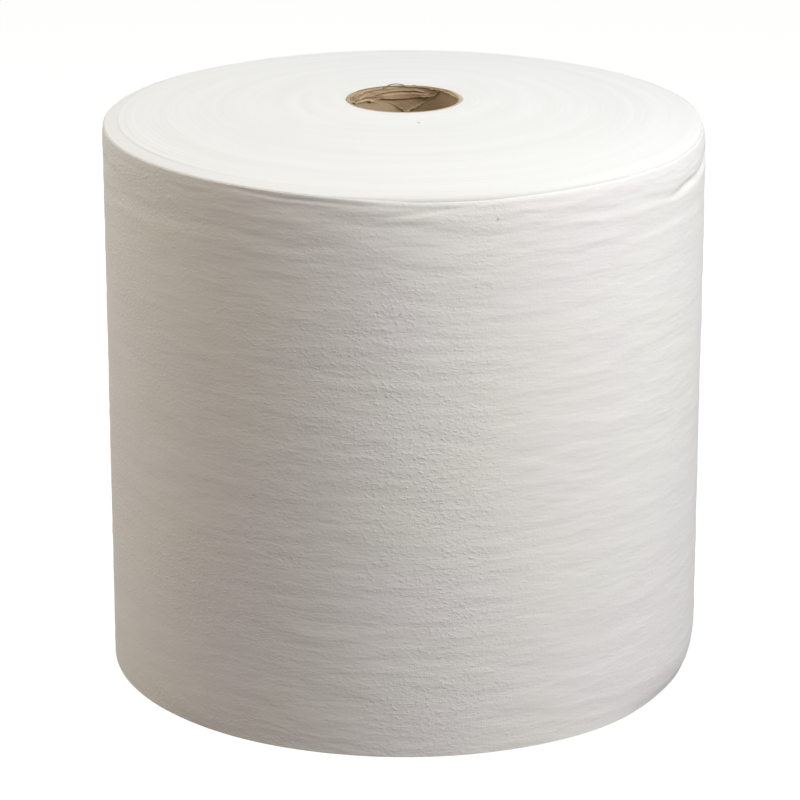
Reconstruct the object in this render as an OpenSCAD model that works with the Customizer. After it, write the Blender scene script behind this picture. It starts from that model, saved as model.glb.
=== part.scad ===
/* [Roll] */
// Diameter over the outermost turn
roll_d = 340; // [260:1:420]
// Width of the web, which is the length of every turn along the axis
web_w = 320; // [180:1:420]
// How far the turns at the middle have risen above the outer ones
crown_h = 11; // [2:0.5:24]
// Width of the outer turns that the floor has pressed flat
foot_w = 20; // [14:1:40]
// Radius of the soft edge at the rim and at the foot
edge_r = 2; // [1:0.25:4]

/* [Turns] */
// Thickness of one sheet, which is the height of the step at the web's tail
sheet_t = 0.5; // [0.3:0.05:1.2]
// Distance from one visible turn line on the ends to the next
turn_pitch = 5.3; // [4:0.1:14]
// Depth of the turn lines
turn_relief = 0.6; // [0.2:0.1:1.2]
// Width of the outermost turns, which were wound more loosely
slack_w = 9; // [6:0.5:16]
// How far those turns have slid down
slack_drop = 1.5; // [0.8:0.1:4]

/* [Core] */
// Bore of the core tube, whose innermost ply is still in place
core_bore_d = 61; // [40:0.5:90]
// Wall of the core tube
core_wall = 2.4; // [1.6:0.1:4]
// Clearance between the tube and the first turn
core_fit = 0.1; // [0.05:0.05:0.3]
// Depth to which the innermost ply has come away from the tube's wall
peel_depth = 20; // [16:1:60]

/* [Loose ply] */
// Thickness of the innermost ply
ply_t = 0.5; // [0.4:0.05:0.8]
// Clearance between the loose ply and the wall that it lies against
ply_gap = 0.15; // [0.1:0.05:0.3]
// Depth of the crumpled band below the mouth
band_h = 7.6; // [4:0.2:9]
// How far the main fold stands out from the wall
fold_reach = 2.5; // [1:0.25:6]
// Width of the triangular flap where it leaves the band
flap_w = 24; // [16:1:34]
// Length of the flap from the band to its tip
flap_len = 7.2; // [4:0.2:9]
// How far the torn edges run in and out
tear_h = 0.6; // [0.2:0.1:1.2]
// Height of the torn edge where it stands up out of the mouth
lip_h = 2; // [0:0.25:4]

/* [Hidden] */
$fn = 180;

roll_r = roll_d / 2;
core_r = core_bore_d / 2 + core_wall;
foot_r = roll_r - foot_w;
slack_r = roll_r - slack_w;
bed_r = core_r + core_fit;

// Every turn has the web's width, and rises with the crown as a whole
core_z = rise(core_r) - rise(foot_r);
mouth_z = core_z + web_w;
rim_z = web_w - rise(foot_r);

// The outermost turns reach this far under the tighter ones inside them
turn_overlap = 3;
// Steps in the quarter circle of the soft edges
edge_steps = 6;

// Angles round the mouth are counted from the side away from the viewer, positive to the right
ply_half_angle = 104;
ply_columns = 88;
ply_rows = 24;
flap_tip_angle = 3;
lip_angle = -14;
lip_half_angle = 10;

// Where the ply has torn: angles, and depths below the mouth as shares of the band's
TEAR_LINE = [
    [-104, 0.29], [-88, 0.47], [-63, 0.86], [-36, 1], [-29, 1.24], [-22, 1.08],
    [25, 1.08], [33, 0.83], [37, 0.5], [41, 0.22], [104, 0.2]
];
// Creases of the ply: how far each stands out, as a share of the main fold, its width above and
// below its crest, and the angles and depths that the crest passes, as shares of the band's depth
CREASES = [
    [0.25, 0.22, 0.1, [[-14, 0.2], [2, 0.08], [18, 0.1], [32, 0.12]]],
    [0.45, 0.26, 0.1, [[-40, 0.53], [-19, 0.37], [6, 0.3], [13, 0.3], [30, 0.42]]],
    [1, 0.68, 0.12, [[-32, 0.72], [-20, 0.8], [-8, 0.86], [5, 0.87], [12, 0.76], [20, 0.6], [36, 0.45]]],
    [0.6, 0.24, 0.1, [[-94, 0.25], [-68, 0.47], [-52, 0.57], [-44, 0.55], [-28, 0.75]]],
    [0.6, 0.24, 0.1, [[-94, 0.35], [-60, 0.8], [-44, 0.87], [-32, 0.95]]],
    [0.45, 0.16, 0.08, [[-92, 0.14], [-66, 0.24], [-50, 0.33], [-34, 0.24]]],
    [0.4, 0.1, 0.06, [[24, 0.12], [49, 0.09], [66, 0.13], [110, 0.16]]]
];

paper_white = "#f4f4f0";
board_buff = "#cdbb98";
kraft_brown = "#a88f6c";

// How far a turn of radius r has risen above the rim
function rise(r) = slack_drop + crown_h * (1 - pow(r / roll_r, 2));
function top_z(r) = rim_z + rise(r);
function bottom_z(r) = max(0, rise(r) - rise(foot_r));

// Zigzag of the turn lines between two radii: a line at each groove, a crown between two
function turn_count(r_from, r_to) = max(1, floor((r_to - r_from) / turn_pitch));
function groove_r(r_from, r_to, i) = r_from + (r_to - r_from) * i / (2 * turn_count(r_from, r_to));
function groove_cut(i) = i % 2 == 1 ? 0 : turn_relief;

// Profile of the tightly wound turns, radius and height
module tight_profile() {
    top_steps = 2 * turn_count(bed_r, slack_r);
    foot_steps = 2 * turn_count(bed_r, foot_r);
    upper = [for (i = [top_steps:-1:0])
        let (r = groove_r(bed_r, slack_r, i)) [r, top_z(r) - groove_cut(i)]];
    lower = [for (i = [0:foot_steps])
        let (r = groove_r(bed_r, foot_r, i), cut = i == foot_steps ? 0 : groove_cut(i))
            [r, bottom_z(r) + cut]];
    polygon(concat(upper, lower, [[slack_r, 0]]));
}

// Profile of the slack outermost turns, whose outside is at radius r_out
module slack_profile(r_out) {
    r_in = r_out - slack_w - turn_overlap;
    shoulder_z = top_z(slack_r) - turn_relief - slack_drop / 2;
    rim = [for (k = [0:edge_steps])
        let (a = 90 * k / edge_steps)
            [r_out - edge_r + edge_r * sin(a), rim_z - edge_r + edge_r * cos(a)]];
    foot = [for (k = [0:edge_steps])
        let (a = 90 * k / edge_steps)
            [r_out - edge_r + edge_r * cos(a), edge_r - edge_r * sin(a)]];
    polygon(concat([[r_in, 0], [r_in, shoulder_z], [r_out - slack_w, shoulder_z]], rim, foot));
}

// The web wound on itself. Its last turn is a spiral of two half circles: the left half is drawn
// from a centre half a sheet nearer the viewer, so the halves meet in front and leave a step of
// one sheet at the back, which is the tail of the web.
module paper_roll() {
    color(paper_white)
    difference() {
        union() {
            rotate_extrude() tight_profile();
            rotate([0, 0, -90]) rotate_extrude(angle = 180) slack_profile(roll_r);
            translate([0, -sheet_t / 2, 0])
            rotate([0, 0, 90]) rotate_extrude(angle = 180) slack_profile(roll_r - sheet_t / 2);
        }
        translate([0, 0, -web_w]) cylinder(h = 3 * web_w, r = bed_r);
    }
}

// Spirally wound board tube, open right through. The innermost ply is gone from its upper end.
module core_tube() {
    color(board_buff)
    translate([0, 0, core_z])
    difference() {
        cylinder(h = web_w, r = core_r);
        translate([0, 0, -web_w]) cylinder(h = 3 * web_w, d = core_bore_d);
        translate([0, 0, web_w - peel_depth]) cylinder(h = web_w, d = core_bore_d + 2 * ply_t);
    }
}

// Sharp-edged wave between 0 and 1, one period for each whole number
function crease_wave(x) = abs(2 * (x - floor(x)) - 1);
function bump(x) = max(0, 1 - x * x);
function ramp(x) = max(0, min(1, x));
function sum(values, i = 0) = i < len(values) ? values[i] + sum(values, i + 1) : 0;

wall_r = core_bore_d / 2 + ply_t;
flap_half_angle = asin(flap_w / 2 / wall_r);

// 1 over most of the ply, falling to 0 where it runs out against the wall at either end
function ply_fade(a) = ramp((ply_half_angle - abs(a)) / 20);
// 1 at the flap's tip, falling to 0 where its torn edges meet the band
function flap_share(a) = ramp(1 - abs(a - flap_tip_angle) / flap_half_angle);
// Depth of the upper torn edge below the mouth. It is negative where the edge stands up.
function upper_edge(a) =
    tear_h * (0.5 + 0.5 * crease_wave(a / 17) + 0.3 * crease_wave(a / 7.3))
    - (lip_h + tear_h) * bump((a - lip_angle) / lip_half_angle);
// Depth of the lower torn edge below the mouth, with the flap
function lower_edge(a) =
    band_h * lookup(a, TEAR_LINE) + 0.6 * tear_h * crease_wave(a / 13)
    + flap_len * flap_share(a) * (0.92 + 0.16 * crease_wave(a / 5.7));

// How far one crease stands out at an angle and at a share of the band's depth
function crease_out(c, a, share) =
    let (
        path = c[3],
        ends = ramp((a - path[0][0]) / 9) * ramp((path[len(path) - 1][0] - a) / 9),
        off = share - lookup(a, path)
    )
        c[0] * ends * ramp(1 - abs(off) / (off < 0 ? c[1] : c[2]));
// How far the ply stands out from the wall at a depth below the mouth. The flap's right side has
// curled off the wall.
function stand_out(a, depth) =
    let (
        folds = sum([for (c = CREASES) crease_out(c, a, depth / band_h)]),
        curl = 0.5 * ramp((a - flap_tip_angle + 4) / 14) * sqrt(flap_share(a)) * ramp(depth / band_h - 1)
    )
        fold_reach * (0.06 * ply_fade(a) + folds + curl);

// Points of one skin of the ply, the outer one at shift 0 and the inner one at shift ply_t
function skin_point(a, s, shift) =
    let (
        depth = upper_edge(a) + (lower_edge(a) - upper_edge(a)) * s,
        r = wall_r - ply_gap - stand_out(a, depth) - shift
    )
        [r * sin(a), r * cos(a), mouth_z - depth];
function column_angle(i) = -ply_half_angle + 2 * ply_half_angle * i / ply_columns;
function skin(shift) = [for (i = [0:ply_columns], j = [0:ply_rows])
    skin_point(column_angle(i), j / ply_rows, shift)];

// Two skins of the same grid, closed round their four edges
function quad(a, b, c, d) = [[a, b, c], [a, c, d]];
module sheet_solid(outer, inner, columns, rows) {
    step = rows + 1;
    back = len(outer);
    faces = concat(
        [for (i = [0:columns - 1], j = [0:rows - 1], f = quad(
            i * step + j, i * step + j + 1, (i + 1) * step + j + 1, (i + 1) * step + j)) f],
        [for (i = [0:columns - 1], j = [0:rows - 1], f = quad(
            back + i * step + j, back + (i + 1) * step + j,
            back + (i + 1) * step + j + 1, back + i * step + j + 1)) f],
        [for (i = [0:columns - 1], f = quad(
            i * step, (i + 1) * step, back + (i + 1) * step, back + i * step)) f],
        [for (i = [0:columns - 1], f = quad(
            i * step + rows, back + i * step + rows,
            back + (i + 1) * step + rows, (i + 1) * step + rows)) f],
        [for (j = [0:rows - 1], f = quad(
            j, back + j, back + j + 1, j + 1)) f],
        [for (j = [0:rows - 1], f = quad(
            columns * step + j, columns * step + j + 1,
            back + columns * step + j + 1, back + columns * step + j)) f]
    );
    polyhedron(points = concat(outer, inner), faces = faces);
}

// The innermost kraft ply, torn loose round the far side of the mouth and crumpled
module loose_inner_ply() {
    color(kraft_brown)
    sheet_solid(skin(0), skin(ply_t), ply_columns, ply_rows);
}

paper_roll();
core_tube();
loose_inner_ply();
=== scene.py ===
"""A paper towel roll on its end, with a torn kraft lining in the mouth of its core.

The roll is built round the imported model: every size that the model holds is measured from it, and
the sizes of the finish, such as wrinkles and turn lines, are properties in the sidebar's panel.
"""

import math

import bmesh
import bpy
from bpy.props import FloatProperty, FloatVectorProperty, PointerProperty
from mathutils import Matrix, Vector, noise


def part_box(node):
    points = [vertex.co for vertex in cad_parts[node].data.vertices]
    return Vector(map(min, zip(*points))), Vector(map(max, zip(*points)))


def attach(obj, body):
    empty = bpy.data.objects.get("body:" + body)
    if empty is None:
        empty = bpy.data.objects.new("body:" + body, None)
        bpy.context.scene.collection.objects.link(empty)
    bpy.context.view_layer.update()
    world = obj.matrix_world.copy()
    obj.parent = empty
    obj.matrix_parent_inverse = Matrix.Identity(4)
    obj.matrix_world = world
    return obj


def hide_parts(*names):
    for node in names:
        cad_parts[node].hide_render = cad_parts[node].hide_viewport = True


bl_info = {
    "name": "Paper Towel Roll",
    "version": (1, 0, 0),
    "blender": (4, 5, 0),
    "location": "View3D > Sidebar > Paper Roll",
    "description": "Wound paper, board core and torn lining of a paper towel roll",
    "category": "Object",
}

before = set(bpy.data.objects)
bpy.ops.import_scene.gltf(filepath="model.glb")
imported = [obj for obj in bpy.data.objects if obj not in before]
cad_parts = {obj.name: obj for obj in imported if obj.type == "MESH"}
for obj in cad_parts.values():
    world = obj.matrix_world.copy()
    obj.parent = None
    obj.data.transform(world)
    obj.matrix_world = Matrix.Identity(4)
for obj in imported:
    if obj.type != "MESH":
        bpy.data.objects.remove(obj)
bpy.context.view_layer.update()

MM = 0.001
BODY = "root"
SHARP_ANGLE = math.radians(55)


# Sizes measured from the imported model

def radii_and_heights(node):
    """Distance from the core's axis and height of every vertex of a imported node."""
    return [(math.hypot(v.co.x, v.co.y), v.co.z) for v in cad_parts[node].data.vertices]


ROLL_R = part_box("paper_roll")[1].y
TUBE_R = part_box("core_tube")[1].y
TUBE_FOOT, MOUTH_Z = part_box("core_tube")[0].z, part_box("core_tube")[1].z
WEB_W = MOUTH_Z - TUBE_FOOT
BORE_R = min(r for r, z in radii_and_heights("core_tube"))
PEELED_R = min(r for r, z in radii_and_heights("core_tube") if z > MOUTH_Z - MM)
WALL_TOP = max(z for r, z in radii_and_heights("paper_roll") if r > ROLL_R - 0.1 * MM)


# Properties that a user would change

def linear(hexadecimal):
    """An sRGB hex value as linear red, green, blue and alpha."""
    parts = [int(hexadecimal[i:i + 2], 16) / 255 for i in (1, 3, 5)]
    return [p / 12.92 if p <= 0.04045 else ((p + 0.055) / 1.055) ** 2.4 for p in parts] + [1.0]


def length(name, description, millimetres):
    """A size in metres whose default is given in millimetres."""
    return FloatProperty(
        name=name, description=description, default=millimetres * MM, subtype="DISTANCE", unit="LENGTH"
    )


def shade(name, description, hexadecimal):
    """A colour whose default is given as an sRGB hex value."""
    return FloatVectorProperty(
        name=name, description=description, default=linear(hexadecimal), subtype="COLOR",
        size=4, min=0, max=1
    )


def power(name, description, watts):
    """The power of a light."""
    return FloatProperty(name=name, description=description, default=watts, min=0, unit="POWER")


class PaperSettings(bpy.types.PropertyGroup):
    edge_r: length("Edge radius", "Radius of the soft edge at rim and foot", 2.0)
    slack_w: length("Slack width", "Width of the outermost, loosely wound turns", 9.0)
    slack_drop: length("Slack drop", "How far those turns have slid down", 1.5)
    foot_w: length("Foot width", "Width of the outer turns pressed flat by the floor", 20.0)
    sheet_t: length("Sheet thickness", "Thickness of one sheet of the web", 0.5)
    turn_pitch: length("Turn pitch", "Distance between two visible turn lines", 3.2)
    turn_relief: length("Turn relief", "Depth of the visible turn lines", 0.1)
    uneven: length("Uneven turns", "How far groups of turns stand proud of each other", 0.11)
    wrinkle_h: length("Wrinkle height", "Height of the long soft wrinkles of the outer sheet", 0.8)
    fray: length("Fray", "How uneven the cut edge of the outer sheet is", 0.5)
    tail_lift: length("Tail lift", "How far the free tail stands off the roll", 1.6)
    paper: shade("Paper", "Colour of the sheet's face", "#f6f6f4")
    cut_paper: shade("Cut edges", "Colour of the cut ends of the turns", "#f4f5f4")


class CoreSettings(bpy.types.PropertyGroup):
    peel_depth: length("Peel depth", "Depth to which the innermost ply has come away", 19.5)
    peel_wander: length("Peel wander", "How far the line of the tear wanders", 3.0)
    lip_r: length("Lip radius", "Rounding of the tube's cut ends", 0.35)
    ply_pitch: length("Ply pitch", "Height that a ply climbs in one turn of the tube", 96.0)
    seam_depth: length("Seam depth", "Depth of the seam between two edges of a ply", 0.12)
    board: shade("Board", "Colour of the tube's wall", "#bfa98d")
    cut_board: shade("Cut board", "Colour of the tube's cut end", "#d9cbb0")
    rubbed: shade("Rubbed kraft", "Colour of the kraft that is rubbed over the cut end", "#b5a283")


class PlySettings(bpy.types.PropertyGroup):
    thickness: length("Thickness", "Thickness of the torn ply", 0.3)
    fold_reach: length("Fold reach", "How far the main fold stands out from the wall", 2.8)
    flap_len: length("Flap length", "Length of the triangular flap below the band", 6.6)
    flap_w: length("Flap width", "Width of the flap where it leaves the band", 24.0)
    loop_h: length("Loop height", "Height of the torn strand that stands out of the mouth", 2.1)
    strand: length("Strand", "Thickness of that strand", 0.7)
    kraft: shade("Kraft", "Colour of the ply", "#b0987a")
    # This colour also paints the highlights along the creases of the ply.
    torn: shade("Torn kraft", "Colour of the torn edges", "#dcc8a8")


class StudioSettings(bpy.types.PropertyGroup):
    camera_distance: length("Camera distance", "Distance along the floor to the core's axis", 2040.0)
    camera_height: length("Camera height", "Height of the camera above the floor", 823.9)
    camera_aside: length("Camera aside", "How far the camera stands to the right", -2.3)
    camera_dip: FloatProperty(
        name="Camera dip", description="How far the camera looks down", default=0.3192, unit="ROTATION"
    )
    lens: FloatProperty(name="Lens", description="Focal length", default=167.4, unit="CAMERA")
    key_power: power("Key light", "Power of the light from the right", 16.6)
    fill_power: power("Fill light", "Power of the light from the left", 5.9)
    front_power: power("Front light", "Power of the high light in front", 6.3)
    top_power: power("Top light", "Power of the light above, at the back", 4.1)
    rim_power: power("Rim light", "Power of the light behind, at left", 4.3)
    edge_power: power("Edge light", "Power of the low light behind, at right", 1.0)
    ambient: FloatProperty(
        name="Ambient", description="Strength of the light from all round", default=0.12, min=0
    )
    floor: shade("Floor", "Colour of the floor", "#fbfbfa")


# Shared helpers

def smooth(share):
    """0 below 0, 1 above 1, and a smooth rise between."""
    t = max(0.0, min(1.0, share))
    return t * t * (3 - 2 * t)


def window(x, start, stop, rise, fall=None):
    """0 outside start and stop, 1 between them, with a smooth rise and fall of these widths inside."""
    return smooth((x - start) / rise) * smooth((stop - x) / (fall or rise))


def bell(distance, half_width):
    """1 at distance 0, falling smoothly towards 0 past the half width."""
    return math.exp(-((distance / half_width) ** 2))


def spaced(start, stop, count):
    """Evenly spaced values from start to stop, both included."""
    return [start + (stop - start) * i / (count - 1) for i in range(count)]


def grid_mesh(name, columns, closed=False):
    """A mesh from columns of points, whose faces look outwards when both run anticlockwise."""
    rows = len(columns[0])
    points = [point for column in columns for point in column]
    column_pairs = [(i, i + 1) for i in range(len(columns) - 1)]
    row_pairs = [(j, j + 1) for j in range(rows - 1)]
    if closed:
        column_pairs.append((len(columns) - 1, 0))
        row_pairs.append((rows - 1, 0))
    faces = [
        (a * rows + i, b * rows + i, b * rows + j, a * rows + j)
        for a, b in column_pairs for i, j in row_pairs
    ]
    mesh = bpy.data.meshes.new(name)
    mesh.from_pydata(points, [], faces)
    mesh.polygons.foreach_set("use_smooth", [True] * len(mesh.polygons))
    return mesh


def face_outwards(mesh):
    """Merges doubles and turns the faces of a closed mesh outwards."""
    work = bmesh.new()
    work.from_mesh(mesh)
    bmesh.ops.remove_doubles(work, verts=work.verts, dist=0.002 * MM)
    bmesh.ops.recalc_face_normals(work, faces=work.faces)
    work.to_mesh(mesh)
    work.free()


def place(mesh, name, *materials):
    """Puts a mesh in the scene as an object at the origin."""
    for material in materials:
        mesh.materials.append(material)
    piece = bpy.data.objects.new(name, mesh)
    bpy.context.scene.collection.objects.link(piece)
    return piece


def freeze(piece):
    """Applies every modifier of a piece and removes it."""
    bpy.context.view_layer.update()
    shaped = piece.evaluated_get(bpy.context.evaluated_depsgraph_get())
    mesh = bpy.data.meshes.new_from_object(shaped)
    piece.modifiers.clear()
    mesh.name = piece.name
    piece.data = mesh


def thicken(piece, thickness, side):
    """Gives a sheet its thickness: inwards where side is -1, outwards where it is 1."""
    modifier = piece.modifiers.new("thickness", "SOLIDIFY")
    modifier.thickness = thickness
    modifier.offset = side
    freeze(piece)


def hand_over(piece, node):
    """Hangs the piece on the body's empty, and hides the imported part that it takes the place of."""
    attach(piece, BODY)
    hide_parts(node)


# Node trees

def result(node):
    """The first of a node's outputs that are in use."""
    return next(socket for socket in node.outputs if socket.enabled)


def add(tree, kind, *values, **named):
    """Adds a node with its settings and links.

    Values without a name go to the sockets in use, in their order. A name in small letters is a
    setting of the node, and one with a capital is a socket, with _ for a space. A node that is given
    as a value stands for its result.
    """
    node = tree.nodes.new(kind)
    for name, value in named.items():
        if name[0].islower():
            setattr(node, name, value)
    sockets = [socket for socket in node.inputs if socket.enabled]
    by_name = {socket.name.replace(" ", "_"): socket for socket in sockets}
    given = list(zip(sockets, values))
    given += [(by_name[name], value) for name, value in named.items() if name[0].isupper()]
    for socket, value in given:
        source = result(value) if isinstance(value, bpy.types.Node) else value
        if isinstance(source, bpy.types.NodeSocket):
            tree.links.new(source, socket)
        else:
            socket.default_value = source
    return node


def from_axis(tree, position):
    """The distance of a position from the core's axis, and the level direction that it lies in."""
    parts = add(tree, "ShaderNodeSeparateXYZ", position).outputs
    flat = add(tree, "ShaderNodeCombineXYZ", parts["X"], parts["Y"])
    distance = add(tree, "ShaderNodeVectorMath", flat, operation="LENGTH")
    direction = add(tree, "ShaderNodeVectorMath", flat, operation="NORMALIZE")
    return distance, direction


def along_turns(tree, distance, direction, reach):
    """Coordinates that change fast across the turns and slowly along them, so that a pattern makes rings.

    Half a turn takes them twice the reach sideways.
    """
    spun = add(tree, "ShaderNodeVectorMath", direction, operation="SCALE", Scale=reach)
    across = add(tree, "ShaderNodeCombineXYZ", Z=distance)
    return add(tree, "ShaderNodeVectorMath", spun, across, operation="ADD")


def new_tree(name, *sizes):
    """A Geometry Nodes tree with a geometry input and a named input for each size."""
    tree = bpy.data.node_groups.new(name, "GeometryNodeTree")
    tree.interface.new_socket("Geometry", in_out="INPUT", socket_type="NodeSocketGeometry")
    for size in sizes:
        kind = "NodeSocketInt" if size == "Seed" else "NodeSocketFloat"
        tree.interface.new_socket(size, in_out="INPUT", socket_type=kind)
    tree.interface.new_socket("Geometry", in_out="OUTPUT", socket_type="NodeSocketGeometry")
    return tree, tree.nodes.new("NodeGroupInput").outputs, tree.nodes.new("NodeGroupOutput")


def end_tree(tree, exit_node, geometry, material):
    """Ends a tree with its instances made real and its material set."""
    real = add(tree, "GeometryNodeRealizeInstances", geometry)
    dressed = add(tree, "GeometryNodeSetMaterial", real, Material=material)
    tree.links.new(result(dressed), exit_node.inputs[0])


def run_tree(piece, tree, **sizes):
    """Adds the tree to a piece with its inputs set, and makes the result a plain mesh."""
    modifier = piece.modifiers.new(tree.name, "NODES")
    modifier.node_group = tree
    sockets = {s.name: s.identifier for s in tree.interface.items_tree if s.in_out == "INPUT"}
    for size, value in sizes.items():
        modifier[sockets[size]] = value
    freeze(piece)


# Materials

DUST = linear("#6d675c")


def new_material(name):
    """An empty material, its node tree and the object's coordinates."""
    material = bpy.data.materials.new(name)
    material.use_nodes = True
    tree = material.node_tree
    return material, tree, add(tree, "ShaderNodeTexCoord").outputs["Object"]


def dress(tree, colour, relief, roughness, shine=0.5):
    """Gives the material's shader its colour and relief, how rough it is and how much it shines."""
    shader = tree.nodes["Principled BSDF"]
    tree.links.new(result(colour), shader.inputs["Base Color"])
    tree.links.new(result(relief), shader.inputs["Normal"])
    shader.inputs["Roughness"].default_value = roughness
    shader.inputs["Specular IOR Level"].default_value = shine


def grain(tree, position, width, detail, roughness, squeeze=1):
    """A pattern from 0 to 1 of soft grains, as wide as given in millimetres and squeezed in height."""
    across = 1 / (width * MM)
    scaled = add(tree, "ShaderNodeMapping", position, Scale=(across, across, squeeze * across))
    return add(tree, "ShaderNodeTexNoise", scaled, 1, detail, roughness)


def toned(colour, red, green, blue):
    """A colour with its red, green and blue each made weaker."""
    return [part * share for part, share in zip(colour, (red, green, blue, 1))]


def blended(tree, pattern, low, high, first, second, most=1):
    """The first colour, which turns into the second as a pattern goes from low to high."""
    share = add(tree, "ShaderNodeMapRange", pattern, low, high, 0, most)
    return add(tree, "ShaderNodeMix", share, first, second, data_type="RGBA")


def specked(tree, position, colour, centre, radius):
    """A colour with one dark speck of dust at a point, given in millimetres."""
    away = add(tree, "ShaderNodeVectorMath", position, [c * MM for c in centre], operation="DISTANCE")
    return blended(tree, away, radius * MM, 0.5 * radius * MM, colour, DUST, 0.6)


def creped_face(colour):
    """Creped nonwoven tissue, dry-laid on a wire: matt, with soft streaks round the roll and small pills.

    The pills are 2.5 mm apart and pressed flat at the right, and the streaks fade at the left. Real
    fibres are about 0.02 mm wide, and are drawn 0.77 mm wide, so that they show.
    """
    material, tree, position = new_material("creped nonwoven tissue")
    streaks = grain(tree, position, 33.3, 3, 0.5, 4.5)
    pills = grain(tree, position, 2.5, 3, 0.6, 1.7)
    fibres = grain(tree, position, 0.77, 2, 0.5, 1.6)
    clouds = grain(tree, position, 91, 2, 0.5, 1.6)
    across = add(tree, "ShaderNodeSeparateXYZ", position).outputs["X"]
    worn = add(tree, "ShaderNodeMapRange", grain(tree, position, 111, 2, 0.5), 0.35, 0.6, 0.3)
    pressed = add(tree, "ShaderNodeMapRange", across, 30 * MM, 85 * MM, 1, 0.25)
    proud = add(tree, "ShaderNodeMath", worn, pressed, operation="MULTIPLY")
    raised = add(tree, "ShaderNodeMapRange", pills, 0.49, 0.73, 0, proud)
    kept = add(tree, "ShaderNodeMapRange", across, -150 * MM, -80 * MM, 0.4)
    waves = add(tree, "ShaderNodeMath", streaks, kept, operation="MULTIPLY")
    tint = blended(tree, clouds, 0.36, 0.64, toned(colour, 1, 1, 0.97), toned(colour, 0.995, 0.98, 0.99))
    soft = add(tree, "ShaderNodeBump", Strength=0.32, Distance=2.6 * MM, Height=waves)
    bumps = add(tree, "ShaderNodeBump", Strength=0.6, Distance=0.42 * MM, Height=raised, Normal=soft)
    fine = add(tree, "ShaderNodeBump", Strength=0.3, Distance=0.12 * MM, Height=fibres, Normal=bumps)
    dress(tree, specked(tree, position, tint, (49.2, -162.8, 302.8), 1.3), fine, 0.94, 0.25)
    return material


def cut_edges(colour):
    """The cut edges of several hundred turns, slit with a circular knife: fine rings, slightly fuzzy.

    Real turns lie about 0.2 mm apart, and are drawn as rings 1.6 mm wide, so that they show.
    """
    material, tree, position = new_material("slit tissue edges")
    turns = along_turns(tree, *from_axis(tree, position), 6 * MM)
    rings = grain(tree, turns, 1.613, 3, 0.6)
    bands = grain(tree, turns, 8.33, 2, 0.5)
    fluff = grain(tree, position, 1.11, 2, 0.6)
    lines = add(tree, "ShaderNodeMath", fluff, 0.5, rings, operation="MULTIPLY_ADD")
    tint = blended(tree, bands, 0.35, 0.65, toned(colour, 0.97, 0.97, 0.965), colour)
    relief = add(tree, "ShaderNodeBump", Strength=0.4, Distance=0.25 * MM, Height=lines)
    dress(tree, specked(tree, position, tint, (8.0, -53.0, 327.3), 1.1), relief, 0.97, 0.2)
    return material


def wound_board(colour):
    """Spirally wound greyboard with a kraft face: brown, matt, with faint fibres along the plies.

    Real fibres are about 0.03 mm wide, and are drawn as clumps 2.4 mm wide, so that they show.
    """
    material, tree, position = new_material("kraft-faced greyboard")
    fibres = grain(tree, position, 2.38, 4, 0.6, 3)
    mottle = grain(tree, position, 16.7, 3, 0.55)
    both = add(tree, "ShaderNodeMix", 0.4, fibres, mottle)
    tint = blended(tree, both, 0.35, 0.65, toned(colour, 0.86, 0.84, 0.82), colour)
    dress(tree, tint, add(tree, "ShaderNodeBump", Strength=0.3, Distance=0.15 * MM, Height=both), 0.78)
    return material


def cut_board(colour, kraft):
    """The tube's sawn end: pale board with the plies as thin rings, brown where kraft is rubbed over it.

    The plies are 0.67 mm thick. The kraft covers the end at the left, and the end turns a darker brown
    towards the back.
    """
    material, tree, position = new_material("sawn board edge")
    plies = grain(tree, along_turns(tree, *from_axis(tree, position), 4 * MM), 0.667, 1, 0.5)
    fluff = grain(tree, position, 1.43, 3, 0.6)
    both = add(tree, "ShaderNodeMix", 0.5, plies, fluff)
    tint = blended(tree, both, 0.38, 0.62, toned(colour, 0.82, 0.8, 0.76), colour)
    axes = add(tree, "ShaderNodeSeparateXYZ", position).outputs
    rubbed = blended(tree, axes["X"], -4 * MM, -22 * MM, tint, kraft, 0.9)
    # Darker brown towards the back of the mouth.
    darker_at_back = blended(tree, axes["Y"], 12 * MM, 19 * MM, rubbed, toned(kraft, 0.62, 0.58, 0.52), 0.9)
    dress(tree, darker_at_back, add(tree, "ShaderNodeBump", Strength=0.5, Distance=0.2 * MM, Height=both), 0.9)
    return material


def torn_kraft(colour, torn_and_highlight_colour):
    """Unbleached kraft paper, crumpled: matt, fibrous, paler where the tear has opened its fibres, and with
    painted highlights along its creases.

    Real fibres are about 0.03 mm wide, and are drawn as clumps 1.1 mm wide, so that they show.
    """
    material, tree, position = new_material("unbleached kraft paper")
    fibres = grain(tree, position, 1.11, 4, 0.65, 2)
    mottle = grain(tree, position, 6.67, 3, 0.5)
    # The torn attribute holds the paler torn edges and the painted highlights along the creases.
    torn = add(tree, "ShaderNodeAttribute", attribute_name="torn").outputs["Fac"]
    face = blended(tree, mottle, 0.35, 0.65, toned(colour, 0.85, 0.83, 0.8), colour)
    tint = add(tree, "ShaderNodeMix", torn, face, torn_and_highlight_colour, data_type="RGBA")
    dress(tree, tint, add(tree, "ShaderNodeBump", Strength=0.35, Distance=0.12 * MM, Height=fibres), 0.72)
    return material


# Wound paper

TURNS_COLUMNS = 200
SHEET_COLUMNS = 481

# Radius of the paper's bore, with a clearance to the tube that it is wound on
BED_R = TUBE_R + 0.1 * MM

# Share of the turn that the sheet starts behind its own tail, and over which the tail stands off
TUCKED, TAIL = 0.012, 0.024

# Depth below the rim of the finely divided part of the sheet, and the steps there and under it
WRINKLED, WRINKLED_STEPS, PLAIN_STEPS = 42 * MM, 44, 56

# The turns under the last one are seen at its two edges. Between the edges they draw back from it.
RIM_BAND, FOOT_BAND, DRAWN_BACK = 18 * MM, 12 * MM, 3.2 * MM

# How far in from the rim a slump reaches, and how far and up to which height the foot is pressed in
SLUMP_REACH = 30 * MM
FOOT_PRESS, FOOT_PRESS_H = 4.3 * MM, 20 * MM

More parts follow.
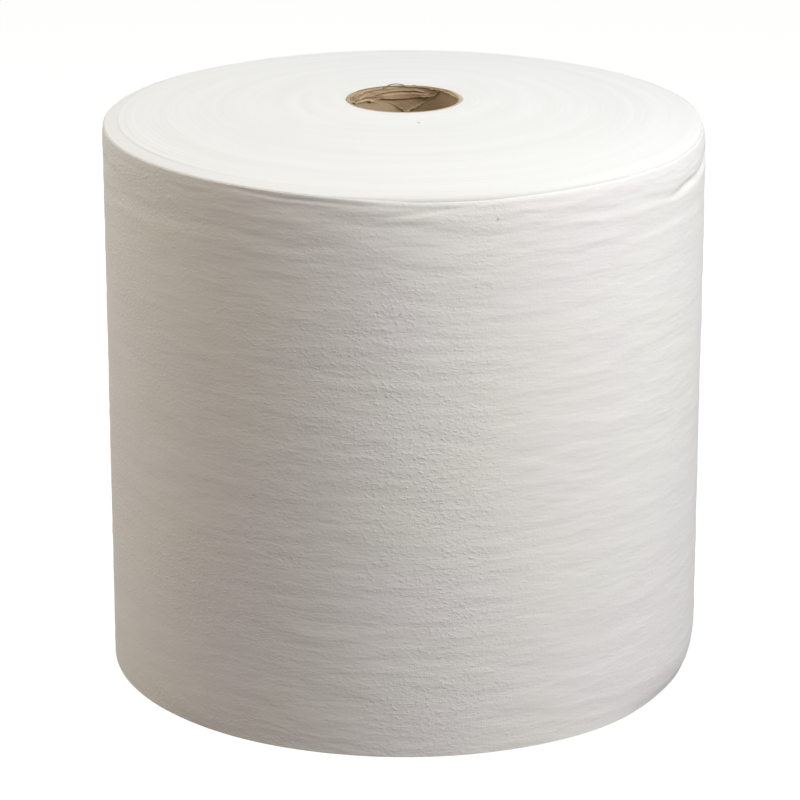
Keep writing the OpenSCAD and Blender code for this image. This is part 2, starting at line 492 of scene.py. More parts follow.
FOLDS = (
    # Angles from the front at which a fold starts and ends, and in millimetres: its depth below the
    # rim there, how far it stands out (or in, below 0), and its width above and below its line
    (-38, -2, 2.2, 3.6, -0.5, 1.4, 1.1),
    (-6, 21, 10.5, 0.2, -0.4, 2.6, 1.2),
    (-20, 22, 11.0, 19.5, -0.5, 6.0, 4.0),
    (24, 64, 15.0, 18.5, -0.6, 5.0, 2.4),
    (55, 100, 19.6, 15.0, -1.9, 2.6, 2.0),
    (38, 84, 33.0, 31.0, -0.3, 6.0, 3.5),
    (60, 96, 44.0, 39.0, -0.25, 6.0, 4.0),
    (30, 74, 52.0, 58.0, -0.4, 7.0, 3.5),
    (-74, -30, 24.0, 29.0, -0.4, 6.0, 4.0),
    (-58, -16, 52.0, 47.0, -0.35, 7.0, 4.0),
    (26, 58, 258.0, 256.0, -0.6, 7.0, 3.0),
    (20, 46, 274.0, 268.0, -0.4, 6.0, 3.0),
    (-120, -85, 30.0, 26.0, -0.8, 7.0, 3.0),
    (110, 150, 22.0, 30.0, -0.8, 7.0, 3.0),
    (-170, -128, 60.0, 52.0, -0.5, 7.0, 4.0),
)
SLUMPS = (
    # Angle from the front at which the rim hangs lowest, how far round that reaches, and how low it
    # hangs in millimetres
    (64, 22, 1.8),
    (10, 30, 2.1),
)


class RollShape:
    """The form of the wound paper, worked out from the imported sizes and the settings.

    Angles are in degrees from the front, positive to the right.
    """

    def __init__(self, settings):
        self.s = settings
        self.rim_z = WALL_TOP + settings.edge_r
        self.slack_r = ROLL_R - settings.slack_w
        self.foot_r = ROLL_R - settings.foot_w
        crown_at_core = 1 - (TUBE_R / ROLL_R) ** 2
        self.crown = (MOUTH_Z - self.rim_z - settings.slack_drop) / crown_at_core

    def rise(self, r):
        """How far a turn at radius r has risen above the rim."""
        return self.s.slack_drop + self.crown * (1 - (r / ROLL_R) ** 2)

    def slump(self, front):
        """How far the rim hangs lower at an angle."""
        return MM * sum(depth * bell(front - middle, spread) for middle, spread, depth in SLUMPS)

    def sag(self, r, front):
        """How far a turn at radius r has sunk with the rim."""
        return self.slump(front) * smooth(1 - (ROLL_R - r) / SLUMP_REACH)

    def gap(self, front):
        """1 at the right, where the last turn has sagged away from the others, 0 where it is tight."""
        return window(front, 28, 130, 22, 25)

    def round_in(self, depth, front):
        """How far the side has rounded in at a depth below the rim. It is softest at front right."""
        softness = window(front, -18, 150, 30, 40)
        lean_h = self.s.edge_r * (3 + 6 * softness)
        lean = self.s.edge_r * (0.2 + 0.7 * softness) * max(0.0, 1 - depth / lean_h) ** 2
        curve_r = self.s.edge_r * (0.15 + 1.85 * softness * (1 - 0.6 * self.gap(front)))
        left = max(0.0, curve_r - depth)
        return lean + curve_r - math.sqrt(max(0.0, curve_r ** 2 - left ** 2))

    def foot_in(self, z, front):
        """How far the side is pressed in at a height above the floor, at the right."""
        return FOOT_PRESS * window(front, 36, 150, 30) * max(0.0, 1 - z / FOOT_PRESS_H) ** 2

    def top(self, r, front):
        """Height of the upper end at radius r."""
        if r <= self.slack_r:
            return self.rim_z + self.rise(r) - self.sag(r, front)
        share = (r - self.slack_r) / (ROLL_R - self.slack_r)
        step = 0.22 * MM * bell(front + 64, 22)
        return self.rim_z + (self.rise(self.slack_r) - step) * (1 - share) - self.sag(r, front)

    def bottom(self, r):
        """Height of the lower end at radius r."""
        return max(0.0, self.rise(r) - self.rise(self.foot_r)) if r < self.foot_r else 0.0


def front_angle_of(turn):
    """Degrees from the front, positive to the right, of a share of the last turn from the tail."""
    return 360 * turn - 180


def at(radius, turn, z):
    """A point at a share of one turn, counted from the tail at the back over the left side."""
    angle = math.radians(90 + 360 * turn)
    return (radius * math.cos(angle), radius * math.sin(angle), z)


def ring_radii(inner, outer, pitch, steps):
    """Radii from inner to outer, with the same number of steps in every turn line."""
    count = int((outer - inner) / pitch * steps)
    return [inner + pitch * i / steps for i in range(count)] + [outer]


def turns_column(shape, turn):
    """The closed section of the tightly wound turns at a share of the turn."""
    s = shape.s
    front = front_angle_of(turn)
    wall_r = ROLL_R - s.sheet_t * (2 - turn)
    shoulder_r = wall_r - shape.round_in(0, front) - (0.7 * shape.gap(front) - 0.1) * MM
    end = [(r, shape.top(r, front)) for r in ring_radii(BED_R, shape.slack_r, s.turn_pitch, 6)]
    end += [(r, shape.top(r, front)) for r in spaced(shape.slack_r + 0.25 * MM, shoulder_r, 9)]
    level = shape.top(shoulder_r, front)
    rim = [(shoulder_r + 0.2 * MM, level - 0.2 * MM)]
    for depth in spaced(0.6 * MM, RIM_BAND, 9):
        drawn = DRAWN_BACK * smooth((depth - 1.5 * MM) / (7 * MM))
        rim.append((wall_r - shape.round_in(depth, front) - drawn, level - depth))
    backed_r = wall_r - DRAWN_BACK - 0.2 * MM
    wall = [(backed_r, level - RIM_BAND - 2 * MM), (backed_r, FOOT_BAND)]
    foot = []
    for a in spaced(0, math.pi / 2, 5):
        z = s.edge_r * (1 - math.sin(a))
        foot.append((wall_r - s.edge_r * (1 - math.cos(a)) - shape.foot_in(z, front), z))
    under = [(r, shape.bottom(r)) for r in reversed(ring_radii(BED_R, shape.foot_r, s.turn_pitch, 3))]
    return [at(r, turn, z) for r, z in end + rim + wall + foot + under]


def turn_lines_tree(material):
    """Turn lines on both ends: a groove at each pitch, and groups of turns that stand unevenly.

    The groups are about 3.3 mm wide. The grooves are worn away in patches about 110 mm wide.
    """
    tree, given, exit_node = new_tree("turn lines", "Pitch", "Relief", "Uneven", "Inner", "Outer")
    position = add(tree, "GeometryNodeInputPosition")
    distance, direction = from_axis(tree, position)
    past_core = add(tree, "ShaderNodeMath", distance, given["Inner"], operation="SUBTRACT")
    count = add(tree, "ShaderNodeMath", past_core, given["Pitch"], operation="DIVIDE")
    phase = add(tree, "ShaderNodeMath", count, operation="FRACT")
    wave = add(tree, "ShaderNodeMath", phase, 2, -1, operation="MULTIPLY_ADD")
    groove = add(tree, "ShaderNodeMath", wave, wave, operation="MULTIPLY")
    worn = add(tree, "ShaderNodeTexNoise", position, 9, 1, 0.5)
    clear = add(tree, "ShaderNodeMapRange", worn, 0.42, 0.62, 0.3)
    deep = add(tree, "ShaderNodeMath", groove, given["Relief"], operation="MULTIPLY")
    cut = add(tree, "ShaderNodeMath", deep, clear, operation="MULTIPLY")
    groups = add(tree, "ShaderNodeTexNoise", along_turns(tree, distance, direction, 12 * MM), 300, 3, 0.6)
    level = add(tree, "ShaderNodeMath", groups, 0.5, operation="SUBTRACT")
    proud = add(tree, "ShaderNodeMath", level, given["Uneven"], operation="MULTIPLY")
    relief = add(tree, "ShaderNodeMath", proud, cut, operation="SUBTRACT")

    before_rim = add(tree, "ShaderNodeMath", given["Outer"], distance, operation="SUBTRACT")
    margin = add(tree, "ShaderNodeMath", past_core, before_rim, operation="MINIMUM")
    inside = add(tree, "ShaderNodeMapRange", margin, 0, 3 * MM)
    up = add(tree, "ShaderNodeSeparateXYZ", add(tree, "GeometryNodeInputNormal")).outputs["Z"]
    steepness = add(tree, "ShaderNodeMath", up, operation="ABSOLUTE")
    on_end = add(tree, "ShaderNodeMapRange", steepness, 0.8, 0.97)
    side = add(tree, "ShaderNodeMath", up, operation="SIGN")
    height = add(tree, "ShaderNodeSeparateXYZ", position).outputs["Z"]
    above_floor = add(tree, "ShaderNodeMath", height, 0.5 * MM, operation="GREATER_THAN")
    rise = relief
    for share in (on_end, inside, side, above_floor):
        rise = add(tree, "ShaderNodeMath", rise, share, operation="MULTIPLY")
    offset = add(tree, "ShaderNodeCombineXYZ", Z=rise)
    moved = add(tree, "GeometryNodeSetPosition", given["Geometry"], Offset=offset)
    end_tree(tree, exit_node, moved, material)
    return tree


def fold_depth(front, depth):
    """How far the folds move the side out at an angle from the front and a depth below the rim."""
    moved = 0.0
    for first, last, depth_first, depth_last, height, above, below in FOLDS:
        if first < front < last:
            share = (front - first) / (last - first)
            wander = 1.4 * noise.noise(Vector((front * 0.07, depth_first, 0)))
            off = depth - (depth_first + (depth_last - depth_first) * share) - wander
            moved += height * window(share, 0, 1, 0.25) * bell(off, above if off < 0 else below)
    return moved * MM


def sheet_point(shape, turn, drop):
    """A point of the outermost sheet's outer face, at a depth below the rim's highest level."""
    s = shape.s
    front = front_angle_of(turn)
    gap = shape.gap(front)
    coarse = noise.noise(Vector((front * 0.35, 0, 3.1)))
    fine = noise.noise(Vector((front * 1.3, 0, 7.7)))
    fray = s.fray * (0.6 * coarse + 0.4 * fine) * (0.15 + 0.85 * gap)
    edge_z = shape.rim_z - 0.55 * gap * MM - shape.slump(front) + fray
    z = edge_z * (1 - drop / shape.rim_z)
    depth = edge_z - z
    radius = ROLL_R - s.sheet_t * (1 - turn) + fold_depth(front, depth / MM)
    radius -= shape.round_in(depth, front) + shape.foot_in(z, front)
    lifted = smooth(1 - (1 - turn) / TAIL) * (0.65 + 0.5 * noise.noise(Vector((0, 0, z * 22))))
    return at(radius + s.tail_lift * lifted, turn, z)


def wrinkles_tree(material):
    """Long soft wrinkles round the roll, deepest below the rim, on the outermost sheet.

    The long ones are about 77 mm wide and the short ones 26 mm, both squeezed in height.
    """
    tree, given, exit_node = new_tree("wrinkles", "Height", "Rim", "Reach", "Squeeze")
    position = add(tree, "GeometryNodeInputPosition")
    parts = add(tree, "ShaderNodeSeparateXYZ", position).outputs
    squeezed = add(tree, "ShaderNodeMath", parts["Z"], given["Squeeze"], operation="MULTIPLY")
    drawn = add(tree, "ShaderNodeCombineXYZ", parts["X"], parts["Y"], squeezed)
    long_folds = add(tree, "ShaderNodeTexNoise", drawn, 13, 2, 0.5)
    short_folds = add(tree, "ShaderNodeTexNoise", drawn, 38, 2, 0.5)
    big = add(tree, "ShaderNodeMath", long_folds, 2.0, -1.0, operation="MULTIPLY_ADD")
    small = add(tree, "ShaderNodeMath", short_folds, 0.8, -0.4, operation="MULTIPLY_ADD")
    folds = add(tree, "ShaderNodeMath", big, small, operation="ADD")
    depth = add(tree, "ShaderNodeMath", given["Rim"], parts["Z"], operation="SUBTRACT")
    near_rim = add(tree, "ShaderNodeMapRange", depth, 0, given["Reach"], 1, 0.55)
    free = add(tree, "ShaderNodeMapRange", depth, 1 * MM, 6 * MM)
    rise = folds
    for share in (given["Height"], near_rim, free):
        rise = add(tree, "ShaderNodeMath", rise, share, operation="MULTIPLY")
    outward = from_axis(tree, position)[1]
    shift = add(tree, "ShaderNodeVectorMath", outward, operation="SCALE", Scale=rise)
    moved = add(tree, "GeometryNodeSetPosition", given["Geometry"], Offset=shift)
    end_tree(tree, exit_node, moved, material)
    return tree


class ROLL_OT_wound_turns(bpy.types.Operator):
    """Make the tightly wound turns, with their cut edges at both ends"""

    bl_idname = "roll.wound_turns"
    bl_label = "Wound turns"

    def execute(self, context):
        settings = context.scene.roll_paper
        shape = RollShape(settings)
        columns = [turns_column(shape, turn) for turn in spaced(0, 1, TURNS_COLUMNS + 1)]
        mesh = grid_mesh("wound_turns", columns, closed=True)
        face_outwards(mesh)
        material = cut_edges(settings.cut_paper)
        piece = place(mesh, "wound_turns", material)
        run_tree(
            piece, turn_lines_tree(material), Pitch=settings.turn_pitch, Relief=settings.turn_relief,
            Uneven=settings.uneven, Inner=BED_R, Outer=shape.slack_r
        )
        hand_over(piece, "paper_roll")
        return {"FINISHED"}


class ROLL_OT_last_turn(bpy.types.Operator):
    """Make the outermost sheet, with its wrinkles, its frayed rim and its free tail at the back"""

    bl_idname = "roll.last_turn"
    bl_label = "Last turn"

    def execute(self, context):
        settings = context.scene.roll_paper
        shape = RollShape(settings)
        drops = [WRINKLED * share ** 1.6 for share in spaced(0, 1, WRINKLED_STEPS + 1)]
        drops += spaced(WRINKLED, shape.rim_z, PLAIN_STEPS + 1)[1:]
        turns = spaced(-TUCKED, 1, SHEET_COLUMNS)
        columns = [[sheet_point(shape, turn, drop) for drop in reversed(drops)] for turn in turns]
        material = creped_face(settings.paper)
        piece = place(grid_mesh("last_turn", columns), "last_turn", material)
        run_tree(
            piece, wrinkles_tree(material), Height=settings.wrinkle_h, Rim=shape.rim_z, Reach=50 * MM,
            Squeeze=7.0
        )
        thicken(piece, settings.sheet_t, -1)
        piece.data.set_sharp_from_angle(angle=SHARP_ANGLE)
        hand_over(piece, "paper_roll")
        return {"FINISHED"}


# Core tube

TUBE_COLUMNS = 288

# How far the edge of the torn ply reaches down from the line of the tear
TEAR_EDGE = 0.12 * MM


def tear_height(settings, angle):
    """Height of the jagged line where the innermost ply has come away from the tube."""
    around = Vector((math.cos(angle), math.sin(angle), 0))
    wander = noise.noise(around * 1.6) + 0.35 * noise.noise(around * 7.0) + 0.2 * noise.noise(around * 25.0)
    return MOUTH_Z - settings.peel_depth + settings.peel_wander * wander


def seam_cut(settings, angle, z):
    """Depth of the helical seam where two edges of a ply meet."""
    phase = (z / settings.ply_pitch + angle / (2 * math.pi)) % 1.0
    off = min(phase, 1 - phase) * settings.ply_pitch
    return settings.seam_depth * bell(off, 0.9 * MM)


def tube_column(settings, angle):
    """The closed section of the tube at an angle round its axis."""
    tear = tear_height(settings, angle)
    lip = settings.lip_r
    outer = [(TUBE_R, z) for z in (TUBE_FOOT + lip, MOUTH_Z - lip)]
    top = [(TUBE_R - lip, MOUTH_Z), (PEELED_R + lip, MOUTH_Z)]
    peeled = [(PEELED_R, z) for z in spaced(MOUTH_Z - lip, tear, 26)]
    heights = spaced(tear - TEAR_EDGE, TUBE_FOOT + lip, 130)
    lined = [(BORE_R + seam_cut(settings, angle, z), z) for z in heights]
    foot = [(BORE_R + lip, TUBE_FOOT), (TUBE_R - lip, TUBE_FOOT)]
    section = outer + top + peeled + lined + foot
    return [(r * math.cos(angle), r * math.sin(angle), z) for r, z in section]


class ROLL_OT_core_tube(bpy.types.Operator):
    """Make the wound board tube, with its sawn ends and the line of the tear inside"""

    bl_idname = "roll.core_tube"
    bl_label = "Core tube"

    def execute(self, context):
        settings = context.scene.roll_core
        turn = 2 * math.pi / TUBE_COLUMNS
        columns = [tube_column(settings, turn * i) for i in range(TUBE_COLUMNS)]
        mesh = grid_mesh("board_tube", columns, closed=True)
        face_outwards(mesh)
        cut = cut_board(settings.cut_board, settings.rubbed)
        piece = place(mesh, "board_tube", wound_board(settings.board), cut)
        low, high = TUBE_FOOT + settings.lip_r, MOUTH_Z - settings.lip_r
        for face in mesh.polygons:
            face.material_index = 0 if low <= face.center.z <= high else 1
        hand_over(piece, "core_tube")
        return {"FINISHED"}


# Loose ply

PLY_COLUMNS, PLY_ROWS = 521, 61

# Clearance between the ply and the wall of the tube that it came away from
PLY_GAP = 0.15 * MM

# Angles in degrees from the far side of the mouth, positive to the right: the flap's tip, where the
# ply runs out, the middle and half length of its raised edge, and those of the loose strand
FLAP_TIP = 3
PLY_END = 104
RAISED_ANGLE, RAISED_HALF = 15, 23
LOOP_ANGLE, LOOP_HALF = -11, 12

STRAND_SIDES, STRAND_RINGS = 6, 37

# Depths in these tables are below the mouth, and they and the sizes are in millimetres
TEAR_LINE = (
    # Angle and depth of the lower torn edge, without the flap
    (-104, 2.2), (-88, 3.6), (-63, 6.5), (-36, 7.6), (-29, 9.4), (-22, 8.2), (20, 8.4), (25, 8.2),
    (27, 7.0), (33, 6.3), (37, 3.8), (41, 1.5), (104, 1.4),
)
RIDGES = (
    # Height of a crease's crest, its width above and below, and the angles and depths that it passes
    (0.26, 0.5, 0.20, ((-10, 0.6), (0, 0.4), (12, 0.5), (24, 0.4), (36, 0.6))),
    (
        0.42, 1.0, 0.30,
        ((-38, 4.1), (-30, 4.0), (-23, 3.3), (-14, 2.9), (3, 2.7), (12, 2.5), (18, 2.9), (28, 3.4)),
    ),
    (0.36, 0.45, 1.30, ((-28, 5.2), (-12, 4.9), (3, 4.4), (10, 4.2), (20, 4.4), (32, 3.9))),
    (0.56, 1.6, 0.55, ((-30, 6.4), (-20, 6.7), (-8, 7.1), (5, 7.2), (12, 6.4), (20, 5.7), (33, 4.4))),
    (0.62, 0.8, 0.28, ((-84, 3.2), (-72, 3.7), (-62, 4.1), (-56, 4.3), (-48, 4.1), (-40, 4.6), (-28, 5.3))),
    (0.60, 0.7, 0.30, ((-96, 1.6), (-80, 3.5), (-63, 6.0), (-52, 6.5), (-44, 6.5), (-37, 7.5), (-31, 9.0))),
    (0.45, 0.5, 0.25, ((-90, 0.6), (-78, 1.0), (-66, 1.9), (-54, 1.6), (-44, 1.2), (-34, 1.4))),
    (0.24, 0.4, 0.20, ((-30, 1.2), (-22, 1.3), (-16, 1.6), (-8, 1.2))),
    (
        0.40, 0.5, 0.25,
        ((24, 1.4), (30, 1.0), (36, 0.5), (44, 0.5), (50, 0.7), (55, 1.0), (65, 1.2), (84, 0.8)),
    ),
    (0.40, 0.5, 0.25, ((17, 6.0), (29, 5.4), (37, 4.9))),
    (0.30, 0.4, 0.20, ((26, 5.0), (30, 4.9), (36, 4.4), (41, 4.1))),
    (0.34, 0.5, 0.25, ((15, 7.8), (24, 7.2), (34, 6.2))),
)
PAINTED_HIGHLIGHTS = (
    # Strength and half width of a painted highlight along a crease, and the angles and depths it passes
    (0.95, 0.30, ((-64, 4.4), (-59, 4.2), (-50, 3.5), (-43, 2.6), (-36, 3.2))),
    (0.90, 0.35, ((-92, 1.7), (-87, 2.3), (-63, 5.6), (-52, 5.8), (-42, 6.0), (-35, 7.3), (-30, 9.0))),
    (0.75, 0.30, ((-72, 1.6), (-63, 2.4), (-52, 1.6), (-47, 1.9))),
    (0.60, 0.32, ((-26, 4.9), (-12, 4.5), (3, 4.0), (10, 3.8), (16, 3.9), (20, 4.1), (30, 3.6))),
    (0.35, 0.30, ((-38, 2.0), (-21, 2.7), (-9, 2.3), (3, 2.0), (10, 2.1))),
    (0.75, 0.26, ((10, 1.8), (15, 1.9), (19, 2.4), (25, 3.0))),
    (0.80, 0.26, ((26, 1.2), (28, 1.0), (36, 0.2), (44, 0.2), (50, 0.4), (55, 0.7), (65, 0.9), (76, 0.5))),
    (0.70, 0.20, ((18, 5.7), (29, 5.1), (33, 4.9))),
    (0.70, 0.20, ((28, 4.8), (30, 4.7), (36, 4.2), (39, 4.0))),
    (0.55, 0.22, ((22, 7.0), (26, 6.8), (32, 6.1), (35, 5.8))),
    (0.60, 0.35, ((-24, 6.4), (-21, 6.8), (-16, 8.9), (-10, 11.0), (-5, 12.7), (-1, 13.9), (4, 14.6))),
)


def along(points, a):
    """Depth of a line of points at an angle."""
    for (left, depth_left), (right, depth_right) in zip(points, points[1:]):
        if left <= a <= right:
            return depth_left + (depth_right - depth_left) * smooth((a - left) / (right - left))
    return points[0][1] if a < points[0][0] else points[-1][1]


def within(points, a, width):
    """1 along a line of points, falling smoothly to 0 over a width in degrees at either end."""
    return window(a, points[0][0], points[-1][0], width)


def crease(x):
    """A sharp-edged wave between 0 and 1, with a period of 1."""
    return abs(2 * (x - math.floor(x)) - 1)


def bump_of(x):
    """A round bump of height 1 between -1 and 1."""
    return max(0.0, 1 - x * x)


def ramp(x):
    """0 below 0, 1 above 1, straight between."""
    return max(0.0, min(1.0, x))


class PlyShape:
    """The form of the torn ply. Angles are from the far side of the mouth, positive to the right."""

    def __init__(self, settings):
        self.s = settings
        self.flap_half = math.degrees(math.asin(settings.flap_w / 2 / PEELED_R))

    def fade(self, a):
        """1 over most of the ply, 0 where it runs out against the wall."""
        return ramp((PLY_END - abs(a)) / 24)

    def flap(self, a):
        """1 at the flap's tip, 0 where its torn edges meet the band."""
        return ramp(1 - abs(a - FLAP_TIP) / self.flap_half)

    def raised(self, a):
        """1 where the upper edge stands proudest of the mouth, 0 where it doesn't."""
        return bump_of((a - RAISED_ANGLE) / RAISED_HALF)

    def upper(self, a):
        """Depth of the upper torn edge below the mouth."""
        ragged = 0.3 * crease(a / 17) + 0.2 * crease(a / 7.3) + 0.3 * noise.noise(Vector((a * 0.8, 1, 0)))
        return (0.3 + ragged - 0.95 * self.raised(a)) * MM

    def lower(self, a):
        """Depth of the lower torn edge below the mouth."""
        torn = 0.5 * noise.noise(Vector((a * 0.35, 5, 0))) + 0.35 * noise.noise(Vector((a * 1.3, 8, 0)))
        flap = self.s.flap_len * self.flap(a) * (0.96 + 0.08 * crease(a / 5.7))
        return (along(TEAR_LINE, a) + torn) * MM + flap

    def depth(self, a, share):
        """Depth below the mouth at a share of the way from the upper torn edge to the lower one."""
        return self.upper(a) + (self.lower(a) - self.upper(a)) * share

    def stand_out(self, a, depth):
        """How far the ply stands out from the wall at a depth below the mouth."""
        t = depth / MM
        out = 0.0
        for height, above, below, path in RIDGES:
            ends = within(path, a, 9)
            if ends:
                off = t - along(path, a) - 0.25 * noise.noise(Vector((a * 0.12, path[0][1], 0)))
                crest = 0.8 + 0.4 * noise.noise(Vector((a * 0.06, path[0][1], 4)))
                width = above if off < 0 else below
                out += height * crest * ends * max(0.0, 1 - abs(off) / (2 * width)) ** 1.3
        lifted = smooth((a - FLAP_TIP + self.flap_half) / self.flap_half)
        curl = 0.6 * lifted * self.flap(a) ** 0.5 * ramp((t - 7) / 8)
        coarse = noise.noise(Vector((a * 0.31, t * 0.8, 9)))
        crumbs = 0.5 + 0.9 * coarse + 0.5 * noise.noise(Vector((a * 0.9, t, 6)))
        fringe = 0.18 * smooth((a - 26) / 14) * self.fade(a) * max(0.1, crumbs)
        fine = 0.05 * noise.noise(Vector((a * 0.25, t * 0.9, 2)))
        return self.s.fold_reach * max(0.0, out + curl + fringe + fine + 0.06 * self.fade(a))

    def painted_highlight(self, a, depth):
        """How strong the painted highlight along the creases is at a depth below the mouth."""
        most = 0.0
        for strength, half_width, path in PAINTED_HIGHLIGHTS:
            patchy = 1.05 + 0.6 * noise.noise(Vector((a * 0.4, path[0][1], 11)))
            off = depth / MM - along(path, a)
            most = max(most, strength * within(path, a, 5) * patchy * bell(off, half_width))
        return min(1.0, most)

    def torn(self, a, share):
        """How far the kraft is torn open, 0 to 1, with the painted highlights along the creases added in.
        The raised edge is brown.
        """
        upper_edge = bell(share, 0.035) * (1 - smooth(2 * self.raised(a)))
        lower_edge = bell(1 - share, 0.035 + 0.06 * bump_of((a - 13) / 10))
        return max(upper_edge, lower_edge, 0.79 * self.painted_highlight(a, self.depth(a, share)))

    def point(self, a, share):
        """A point of the ply's face that looks at the wall."""
        depth = self.depth(a, share)
        bent_out = 1.8 * max(0.0, -depth)
        r = PEELED_R - PLY_GAP - self.stand_out(a, depth) + bent_out
        angle = math.radians(a)
        return (r * math.sin(angle), r * math.cos(angle), MOUTH_Z - depth)

    def strand_ring(self, a):
        """A ring of points round the loose strand, where it passes the angle."""
        share = (a - LOOP_ANGLE) / LOOP_HALF
        arch = bump_of(share)
        height = self.s.loop_h * arch ** 1.3 + (0.9 * smooth(share) - 0.6) * MM
        r = PEELED_R - (0.7 + 0.5 * arch) * MM
        angle = math.radians(a)
        ring = []
        for corner in range(STRAND_SIDES):
            turn = 2 * math.pi * corner / STRAND_SIDES + 0.05 * a
            out, up = 0.6 * self.s.strand * math.cos(turn), 0.45 * self.s.strand * math.sin(turn)
            ring.append(((r + out) * math.sin(angle), (r + out) * math.cos(angle), MOUTH_Z + height + up))
        return ring


def fibres_tree(material):
    """Torn fibres that stand out of the ply's torn edges."""
    tree, given, exit_node = new_tree("torn fibres", "Share", "Length", "Thickness", "Seed")
    torn = add(tree, "GeometryNodeInputNamedAttribute", "torn", data_type="FLOAT")
    on_edge = add(tree, "ShaderNodeMath", torn, 0.8, operation="GREATER_THAN")
    chance = add(tree, "FunctionNodeRandomValue", given["Share"], Seed=given["Seed"], data_type="BOOLEAN")
    picked = add(tree, "ShaderNodeMath", on_edge, chance, operation="MULTIPLY")
    roots = add(tree, "GeometryNodeMeshToPoints", given["Geometry"], picked)
    fibre = add(
        tree, "GeometryNodeMeshCone", Vertices=3, Radius_Bottom=given["Thickness"], Depth=given["Length"]
    )
    turned = add(
        tree, "FunctionNodeRandomValue", (-1.9, -1.9, -3.1), (1.9, 1.9, 3.1), Seed=given["Seed"],
        data_type="FLOAT_VECTOR"
    )
    sized = add(tree, "FunctionNodeRandomValue", 0.4, 1.2, Seed=given["Seed"], data_type="FLOAT")
    spread = add(
        tree, "GeometryNodeInstanceOnPoints", Points=roots, Instance=fibre, Rotation=turned, Scale=sized
    )
    joined = add(tree, "GeometryNodeJoinGeometry", spread)
    tree.links.new(given["Geometry"], joined.inputs[0])
    end_tree(tree, exit_node, joined, material)
    return tree


def add_strand(mesh, shape):
    """Adds the loose strand to the ply's mesh, as a closed thin tube."""
    work = bmesh.new()
    work.from_mesh(mesh)
    torn = work.verts.layers.float["torn"]
    rings = [
        [work.verts.new(point) for point in shape.strand_ring(a)]
        for a in spaced(LOOP_ANGLE - LOOP_HALF, LOOP_ANGLE + LOOP_HALF, STRAND_RINGS)
    ]
    for ring in rings:
        for vertex in ring:
            vertex[torn] = 0.0
    for near, far in zip(rings, rings[1:]):
        for i in range(STRAND_SIDES):
            j = (i + 1) % STRAND_SIDES
            work.faces.new((near[i], near[j], far[j], far[i])).smooth = True
    work.faces.new(reversed(rings[0]))
    work.faces.new(rings[-1])
    bmesh.ops.recalc_face_normals(work, faces=work.faces)
    work.to_mesh(mesh)
    work.free()


class ROLL_OT_loose_ply(bpy.types.Operator):
    """Make the innermost ply, torn loose and crumpled at the mouth of the core"""

    bl_idname = "roll.loose_ply"
    bl_label = "Loose ply"

    def execute(self, context):
        settings = context.scene.roll_ply
        shape = PlyShape(settings)
        shares = spaced(0, 1, PLY_ROWS)
        angles = spaced(-PLY_END, PLY_END, PLY_COLUMNS)
        mesh = grid_mesh("torn_inner_ply", [[shape.point(a, share) for share in shares] for a in angles])
        # The torn attribute holds the paler torn edges and the painted highlights along the creases.
        torn = mesh.attributes.new("torn", "FLOAT", "POINT")
        torn.data.foreach_set("value", [shape.torn(a, share) for a in angles for share in shares])
        material = torn_kraft(settings.kraft, settings.torn)
        piece = place(mesh, "torn_inner_ply", material)
        thicken(piece, settings.thickness, 1)
        add_strand(piece.data, shape)
        run_tree(piece, fibres_tree(material), Share=0.3, Length=1.3 * MM, Thickness=0.1 * MM, Seed=7)
        piece.data.set_sharp_from_angle(angle=SHARP_ANGLE)
        hand_over(piece, "loose_inner_ply")
        return {"FINISHED"}


# Stage

FLOOR_HALF = 6.0
LIGHTS = (
    # Name, side, place and colour of a soft light, in metres from the middle of the roll's foot
    ("key", 0.8, (1.07, -0.68, 1.06), "#fdffff"),
    ("fill", 0.8, (-1.3, 0.2, 0.7), "#fff2d2"),
    ("front", 0.8, (-0.2, -1.2, 1.5), "#fff2e2"),
    ("top", 1.0, (0.0, 0.6, 1.3), "#fffcff"),
    ("rim", 0.6, (-0.95, 0.75, 1.0), "#e0edff"),
    ("edge", 0.6, (1.3, 0.55, 0.15), "#ffffff"),
)


def soft_light(name, watts, size, location, target, colour):
    """A square area light that looks at a point."""
    light = bpy.data.lights.new(name, "AREA")
    light.energy = watts
    light.size = size
    light.color = linear(colour)[:3]
    lamp = bpy.data.objects.new(name, light)
    lamp.location = location
    lamp.rotation_euler = (Vector(target) - Vector(location)).to_track_quat("-Z", "Y").to_euler()
    bpy.context.scene.collection.objects.link(lamp)


def floor_material(colour):
    """Matt white studio floor. It throws back less light than it shows, as a floor further off would."""
    material = bpy.data.materials.new("studio floor")
    material.use_nodes = True
    tree = material.node_tree
    tree.nodes.clear()
    lit = add(tree, "ShaderNodeBsdfDiffuse", Color=linear("#767373"))
    glow = add(tree, "ShaderNodeEmission", Color=colour, Strength=0.975)
    seen = add(tree, "ShaderNodeAddShader", lit, glow)
    thrown = add(tree, "ShaderNodeBsdfDiffuse", Color=linear("#8f878c"))
    by_camera = add(tree, "ShaderNodeLightPath").outputs["Is Camera Ray"]
    mixed = add(tree, "ShaderNodeMixShader", by_camera, thrown, seen)
    add(tree, "ShaderNodeOutputMaterial", Surface=mixed)
    return material


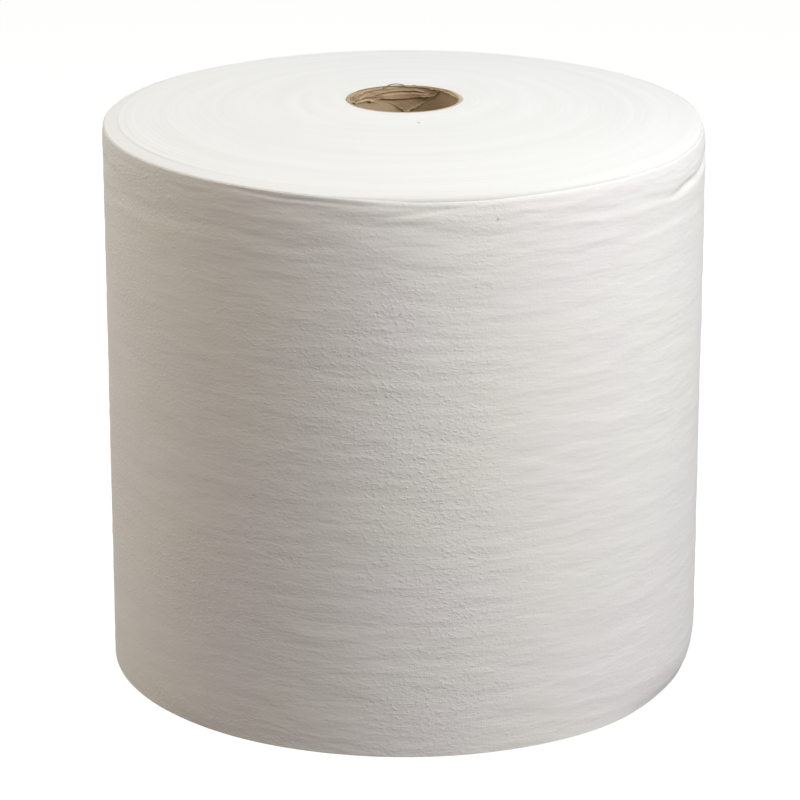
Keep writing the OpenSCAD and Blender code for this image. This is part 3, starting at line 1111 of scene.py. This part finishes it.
class ROLL_OT_studio(bpy.types.Operator):
    """Make the floor, the soft studio lights and the camera"""

    bl_idname = "roll.studio"
    bl_label = "Studio"

    def execute(self, context):
        settings = context.scene.roll_studio
        scene = context.scene
        floor = bpy.data.meshes.new("studio_floor")
        corners = [(FLOOR_HALF * x, FLOOR_HALF * y, 0) for x, y in ((-1, -1), (1, -1), (1, 1), (-1, 1))]
        floor.from_pydata(corners, [], [(0, 1, 2, 3)])
        place(floor, "studio_floor", floor_material(settings.floor))
        for name, size, location, colour in LIGHTS:
            watts = getattr(settings, f"{name}_power")
            soft_light(f"{name} light", watts, size, location, (0, 0, WEB_W / 2), colour)
        world = bpy.data.worlds.new("studio air")
        world.use_nodes = True
        world.node_tree.nodes["Background"].inputs["Color"].default_value = linear("#ffffff")
        world.node_tree.nodes["Background"].inputs["Strength"].default_value = settings.ambient
        scene.world = world
        camera = bpy.data.objects.new("camera", bpy.data.cameras.new("camera"))
        camera.data.lens = settings.lens
        camera.location = (settings.camera_aside, -settings.camera_distance, settings.camera_height)
        camera.rotation_euler = (math.pi / 2 - settings.camera_dip, 0, 0)
        scene.collection.objects.link(camera)
        scene.camera = camera
        scene.view_settings.view_transform = "Standard"
        return {"FINISHED"}


class VIEW3D_PT_paper_roll(bpy.types.Panel):
    """The steps that make the roll"""

    bl_label = "Paper Towel Roll"
    bl_space_type = "VIEW_3D"
    bl_region_type = "UI"
    bl_category = "Paper Roll"

    def draw(self, context):
        for group, steps in (
            ("roll_paper", ("roll.wound_turns", "roll.last_turn")),
            ("roll_core", ("roll.core_tube",)),
            ("roll_ply", ("roll.loose_ply",)),
            ("roll_studio", ("roll.studio",)),
        ):
            box = self.layout.box()
            settings = getattr(context.scene, group)
            for name in settings.bl_rna.properties.keys():
                if name not in ("rna_type", "name"):
                    box.prop(settings, name)
            for step in steps:
                box.operator(step)


GROUPS = {
    "roll_paper": PaperSettings,
    "roll_core": CoreSettings,
    "roll_ply": PlySettings,
    "roll_studio": StudioSettings,
}
OPERATORS = (
    ROLL_OT_wound_turns,
    ROLL_OT_last_turn,
    ROLL_OT_core_tube,
    ROLL_OT_loose_ply,
    ROLL_OT_studio,
)


def register():
    for name, group in GROUPS.items():
        bpy.utils.register_class(group)
        setattr(bpy.types.Scene, name, PointerProperty(type=group))
    for operator in OPERATORS:
        bpy.utils.register_class(operator)
    bpy.utils.register_class(VIEW3D_PT_paper_roll)


def unregister():
    bpy.utils.unregister_class(VIEW3D_PT_paper_roll)
    for operator in reversed(OPERATORS):
        bpy.utils.unregister_class(operator)
    for name, group in reversed(GROUPS.items()):
        delattr(bpy.types.Scene, name)
        bpy.utils.unregister_class(group)


def main():
    register()
    bpy.ops.roll.studio()
    bpy.ops.roll.wound_turns()
    bpy.ops.roll.last_turn()
    bpy.ops.roll.core_tube()
    bpy.ops.roll.loose_ply()


if __name__ == "__main__":
    main()
